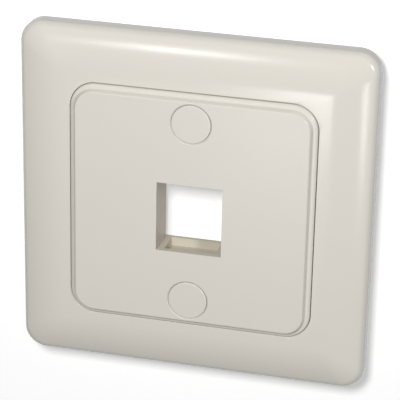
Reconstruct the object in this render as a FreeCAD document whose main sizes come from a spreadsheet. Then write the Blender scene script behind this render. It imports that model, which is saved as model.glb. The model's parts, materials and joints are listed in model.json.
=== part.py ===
"""Single-port keystone faceplate, 80 mm square, for a 60 mm flush wall box.

A crowned outer frame lies on the wall. A steel support ring inside it is screwed to the box.
The centre plate drops into the frame's seat and is pulled back by two M3 screws, which thread
into the ring, so one pair of screws clamps plate, frame and ring together. A press-in cap
covers each screw. The keystone port is moulded in one with the centre plate.

The wall is the plane Y = 0 and the front faces -Y, so "depth" below means distance in front
of the wall. X runs to the right, Z upward, and the origin is the middle of the wall plane.
"""
import FreeCAD, Part
import math
import os
import re
import Sketcher

DIMENSIONS = {
    # outer frame
    "frame_size": 80.0,
    "frame_corner": 5.0,
    "frame_wall": 2.0,
    "frame_skin": 2.0,
    "collar_depth": 6.0,
    "collar_width": 2.0,
    "collar_corner": 0.4,
    "hollow_corner": 0.4,
    "crown_width": 10.0,
    "crown_radius": 25.3,
    "shoulder_radius": 2.0,
    "seat_corner": 6.0,
    "seat_sink": 1.5,
    "ledge_width": 2.0,
    "ledge_thickness": 1.2,
    "ledge_root": 3.5,
    "rib_thickness": 1.2,
    "rib_spacing": 26.0,
    "rib_clearance": 0.6,
    # centre plate
    "seam_gap": 0.25,
    "bead_radius": 0.6,
    "step_width": 1.0,
    "plateau_rise": 1.25,
    "plateau_batter": 0.45,
    "plateau_round": 0.4,
    "plate_skin": 2.0,
    "spigot_gap": 0.2,
    "spigot_wall": 1.5,
    "spigot_length": 2.1,
    # keystone port
    "port_width": 14.9,
    "port_height": 16.3,
    "port_drop": 1.3,
    "chamber_length": 8.6,
    "chamber_wall": 1.5,
    "latch_lip": 1.3,
    "latch_recess": 2.0,
    "latch_width": 11.6,
    "latch_catch": 1.0,
    "hook_lip": 5.1,
    "hook_recess": 2.0,
    "hook_catch": 2.0,
    # caps
    "cap_spacing": 42.3,
    "cap_diameter": 8.9,
    "cap_thickness": 1.5,
    "cap_edge": 0.2,
    "cap_clearance": 0.12,
    "cap_rim_chamfer": 0.25,
    "skirt_wall": 0.7,
    "skirt_clearance": 0.05,
    "skirt_head_gap": 0.15,
    # plate screws, M3 with a slotted cheese head
    "thread_diameter": 3.0,
    "thread_clearance": 0.05,
    "shank_clearance": 0.2,
    "head_diameter": 5.5,
    "head_height": 2.0,
    "head_clearance": 0.4,
    "slot_width": 0.8,
    "slot_sink": 0.85,
    "screw_length": 8.0,
    "tip_chamfer": 0.4,
    "boss_wall": 1.15,
    "boss_floor": 2.1,
    # support ring
    "ring_margin": 3.0,
    "ring_corner": 8.0,
    "ring_thickness": 1.2,
    "ring_window_corner": 4.0,
    "ring_port_clearance": 2.9,
    "tapped_collar_wall": 1.0,
    "tapped_collar_length": 1.3,
    "box_screw_circle": 60.0,
    "box_hole_diameter": 4.0,
    "box_slot_length": 8.0,
    "box_slot_land": 3.0,
}

CROWN_STEPS = 5
TOLERANCE = 1e-4

doc = FreeCAD.newDocument("keystone_faceplate")


# ---------------------------------------------------------------- sheet and formulas

def make_sheet():
    """Write the driving dimensions into a spreadsheet, one aliased cell each."""
    sheet = doc.addObject("Spreadsheet::Sheet", "Dimensions")
    for row, (alias, value) in enumerate(DIMENSIONS.items(), start=1):
        sheet.set(f"A{row}", alias)
        sheet.set(f"B{row}", str(value))
        sheet.setAlias(f"B{row}", alias)
    doc.recompute()
    return sheet


sheet = make_sheet()

# Depths of the main levels in front of the wall, as formulas in the sheet's aliases.
SEAT_LEVEL = "collar_depth - seat_sink"
STEP_LEVEL = "collar_depth + bead_radius"
FRONT_LEVEL = f"{STEP_LEVEL} + plateau_rise"
PLATE_BACK = f"{FRONT_LEVEL} - plate_skin"
CAP_SEAT = f"{FRONT_LEVEL} - cap_thickness"
HEAD_SEAT = "ring_thickness + boss_floor"
CHAMBER_BACK = f"{FRONT_LEVEL} - chamber_length"
SPIGOT_BACK = f"{SEAT_LEVEL} - spigot_length"
CROWN_EDGE = "collar_depth - crown_radius + sqrt(crown_radius ^ 2 - crown_width ^ 2)"

# Sizes that more than one piece takes.
COLLAR_SIZE = "frame_size - 2 * crown_width"
SEAT_SIZE = f"{COLLAR_SIZE} - 2 * collar_width"
WINDOW_SIZE = f"{SEAT_SIZE} - 2 * ledge_width"
WINDOW_CORNER = "seat_corner - ledge_width"
FLANGE_SIZE = f"{SEAT_SIZE} - 2 * seam_gap"
PORT_FLOOR = "-port_drop - port_height / 2"
PORT_CEILING = "-port_drop + port_height / 2"
CHAMBER_FOOT = f"{PORT_FLOOR} - latch_recess - chamber_wall"
HEAD_BORE = "head_diameter + 2 * head_clearance"


def expression(formula):
    """Turn a formula of aliases into one FreeCAD can bind; every alias has an underscore."""
    return re.sub(r"[a-z]+(?:_[a-z]+)+", r"Dimensions.\g<0>", formula)


def value(formula):
    """The present value of a formula of aliases."""
    return float(sheet.evalExpression(expression(formula)))


def bind(item, path, formula):
    item.setExpression(path, expression(formula))


# ---------------------------------------------------------------- sketches

def origin_plane(body, role):
    return next(item for item in body.Origin.OriginFeatures if item.Role == role)


def wall_sketch(body, name, depth):
    """A sketch parallel to the wall, so many millimetres in front of it."""
    sketch = body.newObject("Sketcher::SketchObject", name)
    sketch.AttachmentSupport = [(origin_plane(body, "XZ_Plane"), "")]
    sketch.MapMode = "FlatFace"
    bind(sketch, "AttachmentOffset.Base.z", depth)
    return sketch


def dimension(sketch, name, kind, *arguments):
    """Add a named dimension whose last argument is a formula, and bind it to the sheet."""
    *geometry, formula = arguments
    index = sketch.addConstraint(Sketcher.Constraint(kind, *geometry, value(formula)))
    sketch.renameConstraint(index, name)
    bind(sketch, f"Constraints.{name}", formula)


def place_box(sketch, bottom, left, width, height, rise):
    """Dimension a drawn box from the origin: its two sides, and its lower left corner."""
    right, top = left - 2, bottom + 2
    dimension(sketch, "Width", "DistanceX", left, 1, right, 1, width)
    dimension(sketch, "Height", "DistanceY", bottom, 1, top, 1, height)
    dimension(sketch, "Left", "DistanceX", left, 1, -1, 1, f"({width}) / 2")
    dimension(sketch, "Bottom", "DistanceY", bottom, 1, -1, 1, f"({height}) / 2 - ({rise})")


def rectangle(sketch, width, height, rise="0"):
    """A sharp rectangle, centred left to right, its middle raised by `rise`."""
    half_width, half_height, middle = value(width) / 2, value(height) / 2, value(rise)
    low, high = middle - half_height, middle + half_height
    corners = [
        FreeCAD.Vector(-half_width, low, 0),
        FreeCAD.Vector(half_width, low, 0),
        FreeCAD.Vector(half_width, high, 0),
        FreeCAD.Vector(-half_width, high, 0),
    ]
    for side in range(4):
        sketch.addGeometry(Part.LineSegment(corners[side], corners[(side + 1) % 4]), False)
    for side in range(4):
        sketch.addConstraint(Sketcher.Constraint("Coincident", side, 2, (side + 1) % 4, 1))
        direction = "Horizontal" if side % 2 == 0 else "Vertical"
        sketch.addConstraint(Sketcher.Constraint(direction, side))
    place_box(sketch, 0, 3, width, height, rise)


def rounded_rectangle(sketch, width, height, corner, rise="0"):
    """A rectangle with round corners, centred left to right, its middle raised by `rise`."""
    half_width, half_height, middle = value(width) / 2, value(height) / 2, value(rise)
    radius = value(corner)
    inner_width, inner_height = half_width - radius, half_height - radius
    low, high = middle - half_height, middle + half_height
    ends = [
        ((-inner_width, low), (inner_width, low)),
        ((half_width, middle - inner_height), (half_width, middle + inner_height)),
        ((inner_width, high), (-inner_width, high)),
        ((-half_width, middle + inner_height), (-half_width, middle - inner_height)),
    ]
    for start, end in ends:
        sketch.addGeometry(Part.LineSegment(FreeCAD.Vector(*start, 0), FreeCAD.Vector(*end, 0)), False)
    centres = [(inner_width, -inner_height), (inner_width, inner_height),
               (-inner_width, inner_height), (-inner_width, -inner_height)]
    for quarter, (across, up) in enumerate(centres):
        circle = Part.Circle(FreeCAD.Vector(across, middle + up, 0), FreeCAD.Vector(0, 0, 1), radius)
        start = (quarter - 1) * math.pi / 2
        sketch.addGeometry(Part.ArcOfCircle(circle, start, start + math.pi / 2), False)
    for side in range(4):
        arc = 4 + side
        sketch.addConstraint(Sketcher.Constraint("Tangent", side, 2, arc, 1))
        sketch.addConstraint(Sketcher.Constraint("Tangent", arc, 2, (side + 1) % 4, 1))
        direction = "Horizontal" if side % 2 == 0 else "Vertical"
        sketch.addConstraint(Sketcher.Constraint(direction, side))
    for arc in (5, 6, 7):
        sketch.addConstraint(Sketcher.Constraint("Equal", 4, arc))
    dimension(sketch, "Corner", "Radius", 4, corner)
    place_box(sketch, 0, 3, width, height, rise)


def rounded_square(sketch, side, corner):
    rounded_rectangle(sketch, side, side, corner)


def circle(sketch, diameter):
    """A circle about the origin."""
    radius = value(diameter) / 2
    sketch.addGeometry(Part.Circle(FreeCAD.Vector(), FreeCAD.Vector(0, 0, 1), radius), False)
    sketch.addConstraint(Sketcher.Constraint("Coincident", 0, 3, -1, 1))
    dimension(sketch, "Diameter", "Diameter", 0, diameter)


def circle_pair(sketch, diameter, spacing):
    """Two equal circles, one above the other, either side of the origin."""
    for index, sign in enumerate((1, -1)):
        centre = FreeCAD.Vector(0, sign * value(spacing) / 2, 0)
        sketch.addGeometry(Part.Circle(centre, FreeCAD.Vector(0, 0, 1), value(diameter) / 2), False)
        sketch.addConstraint(Sketcher.Constraint("PointOnObject", index, 3, -2))
    sketch.addConstraint(Sketcher.Constraint("Equal", 0, 1))
    dimension(sketch, "Diameter", "Diameter", 0, diameter)
    dimension(sketch, "Above", "DistanceY", -1, 1, 0, 3, f"({spacing}) / 2")
    dimension(sketch, "Below", "DistanceY", 1, 3, -1, 1, f"({spacing}) / 2")


# ---------------------------------------------------------------- features

def new_body(label):
    body = doc.addObject("PartDesign::Body", label)
    body.Label = label
    return body


def add_feature(body, kind, name, profile):
    feature = body.newObject(f"PartDesign::{kind}", name)
    feature.Profile = profile
    return feature


def pad(body, name, profile, length):
    """Add material from the sketch towards the front."""
    feature = add_feature(body, "Pad", name, profile)
    bind(feature, "Length", length)
    doc.recompute()
    return feature


def pocket(body, name, profile, length, towards_front=False):
    """Remove material from the sketch towards the wall, or towards the front."""
    before = body.Shape.Volume
    feature = add_feature(body, "Pocket", name, profile)
    feature.Reversed = towards_front
    bind(feature, "Length", length)
    doc.recompute()
    if not body.Shape.Volume < before:
        raise RuntimeError(f"{body.Label}: {name} removes nothing")
    return feature


def loft(body, kind, name, sections, ruled=False):
    """Blend a row of sketches, adding or removing material."""
    feature = add_feature(body, kind, name, sections[0])
    feature.Sections = sections[1:]
    feature.Ruled = ruled
    doc.recompute()
    return feature


def edges_at(feature, depth, low="0", high="frame_size"):
    """Names of the edges that lie at one depth with their outermost point in a band."""
    level, inner, outer = -value(depth), value(low), value(high)
    names = []
    for index, edge in enumerate(feature.Shape.Edges, start=1):
        box = edge.BoundBox
        reach = max(abs(box.XMin), abs(box.XMax), abs(box.ZMin), abs(box.ZMax))
        flat = max(abs(box.YMin - level), abs(box.YMax - level)) < TOLERANCE
        if flat and inner - TOLERANCE <= reach <= outer + TOLERANCE:
            names.append(f"Edge{index}")
    if not names:
        raise RuntimeError(f"{feature.Label}: no edge at depth {-level}")
    return names


def dress(body, kind, name, base, edges, size_name, size):
    """Round or chamfer some edges of a feature."""
    feature = body.newObject(f"PartDesign::{kind}", name)
    feature.Base = (base, edges)
    bind(feature, size_name, size)
    doc.recompute()
    return feature


# ---------------------------------------------------------------- outer frame

def crown_sections(body, name, inset, skin, edge_corner, collar_corner):
    """Rounded squares that climb the crown, from the frame's edge in to the flat collar."""
    sections = []
    for step in range(CROWN_STEPS + 1):
        run = f"{CROWN_STEPS - step} / {CROWN_STEPS} * crown_width"
        fall = f"crown_radius - sqrt(crown_radius ^ 2 - ({run}) ^ 2)"
        sketch = wall_sketch(body, f"{name}{step}", f"collar_depth - ({fall}) - ({skin})")
        side = f"{COLLAR_SIZE} + 2 * ({run}) - 2 * ({inset})"
        corner = f"{edge_corner} + ({collar_corner} - ({edge_corner})) * {step} / {CROWN_STEPS}"
        rounded_square(sketch, side, corner)
        sections.append(sketch)
    return sections


def polygon(sketch, corners):
    """A closed outline through corners, each a pair of formulas measured from the origin."""
    points = [FreeCAD.Vector(value(across), value(up), 0) for across, up in corners]
    count = len(points)
    for side in range(count):
        sketch.addGeometry(Part.LineSegment(points[side], points[(side + 1) % count]), False)
    for side in range(count):
        sketch.addConstraint(Sketcher.Constraint("Coincident", side, 2, (side + 1) % count, 1))
    for side, (across, up) in enumerate(corners):
        dimension(sketch, f"Across{side}", "DistanceX", -1, 1, side, 1, across)
        dimension(sketch, f"Up{side}", "DistanceY", -1, 1, side, 1, up)


def polar_pattern(body, name, original, count):
    """Repeat a feature evenly about the Y axis."""
    pattern = body.newObject("PartDesign::PolarPattern", name)
    pattern.Originals = [original]
    pattern.Axis = (origin_plane(body, "Y_Axis"), [""])
    pattern.Angle = 360
    pattern.Occurrences = count
    body.Tip = pattern
    doc.recompute()
    return pattern


def add_ribs(body):
    """Thin webs behind the crown, two to a side, from the window out to the side wall."""
    rear = "ring_thickness + rib_clearance"
    inner, outer = f"({WINDOW_SIZE}) / 2", "(frame_size - frame_wall) / 2"
    corners = [
        (inner, f"-({rear})"),
        (outer, f"-({rear})"),
        (outer, f"frame_skin / 2 - ({CROWN_EDGE})"),
        (f"({COLLAR_SIZE}) / 2", "frame_skin / 2 - collar_depth"),
        (inner, "frame_skin / 2 - collar_depth"),
    ]
    for name, side in (("RibAbove", "rib_spacing / 2"), ("RibBelow", "-rib_spacing / 2")):
        sketch = body.newObject("Sketcher::SketchObject", f"{name}Outline")
        sketch.AttachmentSupport = [(origin_plane(body, "XY_Plane"), "")]
        sketch.MapMode = "FlatFace"
        bind(sketch, "AttachmentOffset.Base.z", side)
        polygon(sketch, corners)
        rib = add_feature(body, "Pad", name, sketch)
        rib.Midplane = True
        bind(rib, "Length", "rib_thickness")
        doc.recompute()
        polar_pattern(body, f"{name}Pattern", rib, 4)


def make_outer_frame():
    """Crowned square frame, open behind, with a sunk seat round its window for the plate."""
    body = new_body("outer_frame")
    outline = wall_sketch(body, "Outline", "0")
    rounded_square(outline, "frame_size", "frame_corner")
    pad(body, "SideWall", outline, CROWN_EDGE)
    outer = crown_sections(body, "CrownSection", "0", "0", "frame_corner", "collar_corner")
    crown = loft(body, "AdditiveLoft", "Crown", outer)
    edges = edges_at(crown, CROWN_EDGE, "frame_size / 2 - frame_corner")
    dress(body, "Fillet", "Shoulder", crown, edges, "Radius", "shoulder_radius")

    hollow_edge = "frame_corner - frame_wall"
    hollow = wall_sketch(body, "HollowOutline", "0")
    rounded_square(hollow, "frame_size - 2 * frame_wall", hollow_edge)
    pocket(body, "Hollow", hollow, f"{CROWN_EDGE} - frame_skin", towards_front=True)
    inner = crown_sections(
        body, "HollowSection", "frame_wall", "frame_skin", hollow_edge, "hollow_corner"
    )
    loft(body, "SubtractiveLoft", "HollowCrown", inner, ruled=True)
    add_ribs(body)

    ledge = wall_sketch(body, "LedgeOutline", f"{SEAT_LEVEL} - ledge_thickness")
    rounded_square(ledge, f"{WINDOW_SIZE} + 2 * ledge_root", f"{WINDOW_CORNER} + ledge_root")
    pad(body, "Ledge", ledge, "seat_sink + ledge_thickness - frame_skin / 2")
    window = wall_sketch(body, "WindowOutline", "collar_depth")
    rounded_square(window, WINDOW_SIZE, WINDOW_CORNER)
    pocket(body, "Window", window, "collar_depth")
    seat = wall_sketch(body, "SeatOutline", "collar_depth")
    rounded_square(seat, SEAT_SIZE, "seat_corner")
    pocket(body, "Seat", seat, "seat_sink")
    return body


# ---------------------------------------------------------------- centre plate

def make_centre_plate():
    """Stepped front plate with the screw bosses and the keystone port moulded in one."""
    body = new_body("centre_plate")
    add_stepped_front(body)
    add_tray(body)
    add_bosses(body)
    add_port(body)
    cut_screw_seats(body)
    return body


def add_stepped_front(body):
    """Flange that fills the frame's seat, its rounded bead, and the raised plateau."""
    flange = wall_sketch(body, "FlangeOutline", SEAT_LEVEL)
    rounded_square(flange, FLANGE_SIZE, "seat_corner - seam_gap")
    pad(body, "Flange", flange, "seat_sink + bead_radius")

    foot_size = f"{FLANGE_SIZE} - 2 * step_width"
    foot_corner = "seat_corner - seam_gap - step_width"
    foot = wall_sketch(body, "PlateauFoot", STEP_LEVEL)
    rounded_square(foot, foot_size, foot_corner)
    top = wall_sketch(body, "PlateauTop", FRONT_LEVEL)
    rounded_square(top, f"{foot_size} - 2 * plateau_batter", f"{foot_corner} - plateau_batter")
    plateau = loft(body, "AdditiveLoft", "Plateau", [foot, top], ruled=True)

    rim_edges = edges_at(plateau, STEP_LEVEL, f"({FLANGE_SIZE}) / 2")
    bead = dress(body, "Fillet", "Bead", plateau, rim_edges, "Radius", "bead_radius")
    dress(body, "Fillet", "PlateauEdge", bead, edges_at(bead, FRONT_LEVEL), "Radius", "plateau_round")


def add_tray(body):
    """Spigot that drops through the frame's window, and the hollow behind the plate."""
    size, corner = f"{WINDOW_SIZE} - 2 * spigot_gap", f"{WINDOW_CORNER} - spigot_gap"
    spigot = wall_sketch(body, "SpigotOutline", SPIGOT_BACK)
    rounded_square(spigot, size, corner)
    pad(body, "Spigot", spigot, "spigot_length + seat_sink")
    hollow = wall_sketch(body, "TrayOutline", SPIGOT_BACK)
    rounded_square(hollow, f"{size} - 2 * spigot_wall", f"{corner} - spigot_wall")
    pocket(body, "Tray", hollow, f"{PLATE_BACK} - ({SPIGOT_BACK})", towards_front=True)


def add_bosses(body):
    """Screw bosses that stand on the support ring, wider where they carry the caps."""
    slim = wall_sketch(body, "BossOutline", "ring_thickness")
    circle_pair(slim, f"{HEAD_BORE} + 2 * boss_wall", "cap_spacing")
    pad(body, "Bosses", slim, f"{PLATE_BACK} + plate_skin / 2 - ring_thickness")
    wide = wall_sketch(body, "CapPadOutline", f"{CAP_SEAT} - boss_wall")
    circle_pair(wide, "cap_diameter + 2 * cap_clearance + 2 * boss_wall", "cap_spacing")
    pad(body, "CapPads", wide, f"{STEP_LEVEL} - ({CAP_SEAT} - boss_wall)")


def add_port(body):
    """Keystone port: a deep chamber with a lip, a recess and a catch above and below."""
    outer_width = "port_width + 2 * chamber_wall"
    outer_height = "port_height + latch_recess + hook_recess + 2 * chamber_wall"
    outer_rise = "(hook_recess - latch_recess) / 2 - port_drop"
    chamber = wall_sketch(body, "ChamberOutline", CHAMBER_BACK)
    rectangle(chamber, outer_width, outer_height, outer_rise)
    pad(body, "Chamber", chamber, "chamber_length - plate_skin / 2")
    port = wall_sketch(body, "PortOutline", FRONT_LEVEL)
    rectangle(port, "port_width", "port_height", "-port_drop")
    pocket(body, "Port", port, "chamber_length")

    overlap = "port_height / 2"
    latch = wall_sketch(body, "LatchOutline", f"{FRONT_LEVEL} - latch_lip")
    latch_rise = f"{PORT_FLOOR} - latch_recess / 2 + {overlap} / 2"
    rectangle(latch, "latch_width", f"latch_recess + {overlap}", latch_rise)
    pocket(body, "LatchRecess", latch, "chamber_length - latch_lip - latch_catch")
    hook = wall_sketch(body, "HookOutline", f"{FRONT_LEVEL} - hook_lip")
    hook_rise = f"{PORT_CEILING} + hook_recess / 2 - {overlap} / 2"
    rectangle(hook, "port_width", f"hook_recess + {overlap}", hook_rise)
    pocket(body, "HookRecess", hook, "chamber_length - hook_lip - hook_catch")


def cut_screw_seats(body):
    """Stepped bores: cap seat, head recess and shank hole."""
    cap_bore = "cap_diameter + 2 * cap_clearance"
    seat = wall_sketch(body, "CapSeatOutline", FRONT_LEVEL)
    circle_pair(seat, cap_bore, "cap_spacing")
    seats = pocket(body, "CapSeats", seat, "cap_thickness")
    rims = [
        name for name in edges_at(seats, FRONT_LEVEL, "cap_spacing / 2", f"(cap_spacing + {cap_bore}) / 2")
        if isinstance(seats.Shape.getElement(name).Curve, Part.Circle)
    ]
    dress(body, "Chamfer", "CapRims", seats, rims, "Size", "cap_rim_chamfer")
    recess = wall_sketch(body, "HeadRecessOutline", CAP_SEAT)
    circle_pair(recess, HEAD_BORE, "cap_spacing")
    pocket(body, "HeadRecesses", recess, f"{CAP_SEAT} - ({HEAD_SEAT})")
    shank = wall_sketch(body, "ShankOutline", HEAD_SEAT)
    circle_pair(shank, "thread_diameter + 2 * shank_clearance", "cap_spacing")
    pocket(body, "ShankHoles", shank, "boss_floor")


# ---------------------------------------------------------------- caps and screws

def make_screw_cap(label, side):
    """Disc that fills the cap seat, with a short skirt that grips the head recess."""
    body = new_body(label)
    disc = wall_sketch(body, "DiscOutline", CAP_SEAT)
    circle(disc, "cap_diameter")
    cap = pad(body, "Disc", disc, "cap_thickness")
    dress(body, "Chamfer", "DiscEdge", cap, edges_at(cap, FRONT_LEVEL), "Size", "cap_edge")
    skirt_diameter = f"{HEAD_BORE} - 2 * skirt_clearance"
    skirt_back = f"{HEAD_SEAT} + head_height + skirt_head_gap"
    skirt_length = f"{CAP_SEAT} - ({skirt_back})"
    skirt = wall_sketch(body, "SkirtOutline", skirt_back)
    circle(skirt, skirt_diameter)
    pad(body, "Skirt", skirt, skirt_length)
    bore = wall_sketch(body, "BoreOutline", skirt_back)
    circle(bore, f"{skirt_diameter} - 2 * skirt_wall")
    pocket(body, "SkirtBore", bore, skirt_length, towards_front=True)
    bind(body, "Placement.Base.z", f"{side} * cap_spacing / 2")
    return body


def make_plate_screw(label, side):
    """M3 screw with a slotted cheese head, its thread drawn as a plain shank."""
    body = new_body(label)
    profile = body.newObject("Sketcher::SketchObject", "HalfSection")
    profile.AttachmentSupport = [(origin_plane(body, "XY_Plane"), "")]
    profile.MapMode = "FlatFace"
    head_front = f"-({HEAD_SEAT}) - head_height"
    tip = f"screw_length - ({HEAD_SEAT})"
    polygon(profile, [
        ("0", head_front),
        ("head_diameter / 2", head_front),
        ("head_diameter / 2", f"-({HEAD_SEAT})"),
        ("thread_diameter / 2", f"-({HEAD_SEAT})"),
        ("thread_diameter / 2", f"{tip} - tip_chamfer"),
        ("thread_diameter / 2 - tip_chamfer", tip),
        ("0", tip),
    ])
    turned = add_feature(body, "Revolution", "Turned", profile)
    turned.ReferenceAxis = (profile, ["V_Axis"])
    turned.Angle = 360
    doc.recompute()
    slot = wall_sketch(body, "SlotOutline", f"{HEAD_SEAT} + head_height")
    rectangle(slot, "head_diameter + slot_width", "slot_width")
    pocket(body, "Slot", slot, "slot_sink")
    bind(body, "Placement.Base.z", f"{side} * cap_spacing / 2")
    return body


# ---------------------------------------------------------------- support ring

def make_support_ring():
    """Stamped steel ring: two tapped collars, and holes and slots for the wall box's screws."""
    body = new_body("support_ring")
    outline = wall_sketch(body, "RingOutline", "0")
    rounded_square(outline, "frame_size - 2 * frame_wall - 2 * ring_margin", "ring_corner")
    pad(body, "Blank", outline, "ring_thickness")
    width = "box_screw_circle - box_hole_diameter - 2 * box_slot_land"
    height = f"2 * (ring_port_clearance - ({CHAMBER_FOOT}))"
    window = wall_sketch(body, "RingWindowOutline", "ring_thickness")
    rounded_rectangle(window, width, height, "ring_window_corner")
    pocket(body, "RingWindow", window, "ring_thickness")

    bore = "thread_diameter + 2 * thread_clearance"
    collar = wall_sketch(body, "CollarOutline", "-tapped_collar_length")
    circle_pair(collar, f"{bore} + 2 * tapped_collar_wall", "cap_spacing")
    pad(body, "TappedCollars", collar, "tapped_collar_length + ring_thickness / 2")
    tapping = wall_sketch(body, "TappingOutline", "ring_thickness")
    circle_pair(tapping, bore, "cap_spacing")
    pocket(body, "TappedHoles", tapping, "ring_thickness + tapped_collar_length")

    holes = wall_sketch(body, "BoxHoleOutline", "ring_thickness")
    circle_pair(holes, "box_hole_diameter", "box_screw_circle")
    pocket(body, "BoxHoles", holes, "ring_thickness")
    slot = wall_sketch(body, "BoxSlotOutline", "ring_thickness")
    upright_slot(slot, "box_screw_circle / 2", "box_hole_diameter", "box_slot_length")
    first = pocket(body, "BoxSlot", slot, "ring_thickness")
    polar_pattern(body, "BoxSlots", first, 2)
    return body


def upright_slot(sketch, across, width, length):
    """A slot with round ends that runs upright, its middle level with the origin."""
    middle, radius = value(across), value(width) / 2
    reach = value(length) / 2 - radius
    for sign in (1, -1):
        centre = FreeCAD.Vector(middle, sign * reach, 0)
        round_end = Part.Circle(centre, FreeCAD.Vector(0, 0, 1), radius)
        start = 0 if sign > 0 else math.pi
        sketch.addGeometry(Part.ArcOfCircle(round_end, start, start + math.pi), False)
    for sign in (1, -1):
        low = FreeCAD.Vector(middle + sign * radius, -sign * reach, 0)
        high = FreeCAD.Vector(middle + sign * radius, sign * reach, 0)
        sketch.addGeometry(Part.LineSegment(low, high), False)
    for arc, line in ((0, 3), (1, 2)):
        sketch.addConstraint(Sketcher.Constraint("Tangent", arc, 2, line, 1))
    for line, arc in ((3, 1), (2, 0)):
        sketch.addConstraint(Sketcher.Constraint("Tangent", line, 2, arc, 1))
    sketch.addConstraint(Sketcher.Constraint("Vertical", 2))
    sketch.addConstraint(Sketcher.Constraint("Equal", 0, 1))
    dimension(sketch, "Radius", "Radius", 0, f"({width}) / 2")
    dimension(sketch, "Across", "DistanceX", -1, 1, 0, 3, across)
    dimension(sketch, "Above", "DistanceY", -1, 1, 0, 3, f"({length} - {width}) / 2")
    dimension(sketch, "Below", "DistanceY", 1, 3, -1, 1, f"({length} - {width}) / 2")


# ---------------------------------------------------------------- check and write

def check(parts):
    """Stop unless every object has built and every sub-part is one valid solid."""
    for item in doc.Objects:
        if "Invalid" in item.State or "Error" in item.State:
            raise RuntimeError(f"{item.Name} failed: {item.State}")
    for part in parts:
        shape = part.Shape
        if shape.isNull() or not shape.isValid() or len(shape.Solids) != 1:
            raise RuntimeError(f"{part.Label} is not one valid solid")


def write(parts):
    os.makedirs("parts", exist_ok=True)
    for part in parts:
        part.Shape.exportStep(f"parts/{part.Label}.step")


def main():
    parts = [
        make_outer_frame(),
        make_centre_plate(),
        make_screw_cap("screw_cap_top", 1),
        make_screw_cap("screw_cap_bottom", -1),
        make_plate_screw("plate_screw_top", 1),
        make_plate_screw("plate_screw_bottom", -1),
        make_support_ring(),
    ]
    doc.recompute()
    check(parts)
    write(parts)


main()
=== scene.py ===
"""Single-port keystone faceplate: crowned frame, stepped plate, port, caps, screws and ring.

Every piece is modelled in millimetres about the middle of the wall plane. The front faces -Y,
and "depth" is the distance in front of the wall.
"""
import json
import math

import bmesh
import bpy
from bpy.props import FloatProperty, FloatVectorProperty, PointerProperty
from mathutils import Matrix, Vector

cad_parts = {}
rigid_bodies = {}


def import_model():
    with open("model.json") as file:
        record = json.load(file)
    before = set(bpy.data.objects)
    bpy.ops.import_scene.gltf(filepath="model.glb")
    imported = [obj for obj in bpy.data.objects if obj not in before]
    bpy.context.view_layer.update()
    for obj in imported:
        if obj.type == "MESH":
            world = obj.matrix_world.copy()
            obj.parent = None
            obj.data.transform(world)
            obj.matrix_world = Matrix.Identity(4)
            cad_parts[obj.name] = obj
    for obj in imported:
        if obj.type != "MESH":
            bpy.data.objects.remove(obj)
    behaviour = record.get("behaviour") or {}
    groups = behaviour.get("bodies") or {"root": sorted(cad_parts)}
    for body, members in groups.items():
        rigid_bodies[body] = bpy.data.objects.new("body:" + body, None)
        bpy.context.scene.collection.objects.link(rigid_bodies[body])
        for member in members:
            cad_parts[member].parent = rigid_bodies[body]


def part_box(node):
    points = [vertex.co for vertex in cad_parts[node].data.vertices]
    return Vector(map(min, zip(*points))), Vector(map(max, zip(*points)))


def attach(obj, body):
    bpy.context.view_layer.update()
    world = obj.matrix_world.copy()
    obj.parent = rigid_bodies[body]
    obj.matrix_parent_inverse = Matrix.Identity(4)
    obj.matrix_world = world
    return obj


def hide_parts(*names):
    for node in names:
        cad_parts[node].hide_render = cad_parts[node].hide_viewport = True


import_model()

bl_info = {
    "name": "Keystone Faceplate",
    "version": (1, 0, 0),
    "blender": (4, 5, 0),
    "location": "View3D > Sidebar > Faceplate",
    "description": "Models a flush keystone faceplate with its frame, port, caps, screws and ring",
    "category": "Add Mesh",
}

MM = 0.001
TOUCH = 0.001  # millimetres: points nearer than this are one
OVERCUT = 1.0  # millimetres that a cutting tool reaches past the face it cuts
RIM_BAND = 0.3  # millimetres of flat face kept in a loop of its own inside a rounded rim
LONG_RUN = 30.0  # millimetres: straight edges longer than this are divided
SHARP_ANGLE = math.radians(32)
STAMPED_ANGLE = math.radians(60)

# the stage: millimetres and degrees
CAMERA_PLACE = (95.49, -392.62, 174.66)
CAMERA_TURN = (66.653, -1.167, 14.096)
CAMERA_LENS = 176.9
BACKDROP_SIZE = 400.0
BACKDROP_BEHIND = 3.0
BACKDROP_LIFT = 0.4
BACKDROP_COLOUR = (0.98, 0.98, 0.98, 1)
WORLD_SEEN = 1.0  # strength of the surroundings for the camera
WORLD_FELT = 0.125  # and for every other ray

PLASTIC_IOR = 1.5
PLASTIC_RELIEF = 0.00002  # metres

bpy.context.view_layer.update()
FRAME_LOW, FRAME_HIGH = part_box("outer_frame")
PLATE_LOW, PLATE_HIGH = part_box("centre_plate")
CAP_LOW, CAP_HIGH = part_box("screw_cap_top")
SCREW_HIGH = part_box("plate_screw_top")[1]
RING_LOW, RING_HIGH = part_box("support_ring")


def millimetres(metres):
    return round(metres / MM, 3)


# ---- sizes and colours

def size(name, description, default):
    return FloatProperty(name=name, description=description, default=default, min=0.0, precision=3)


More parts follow.
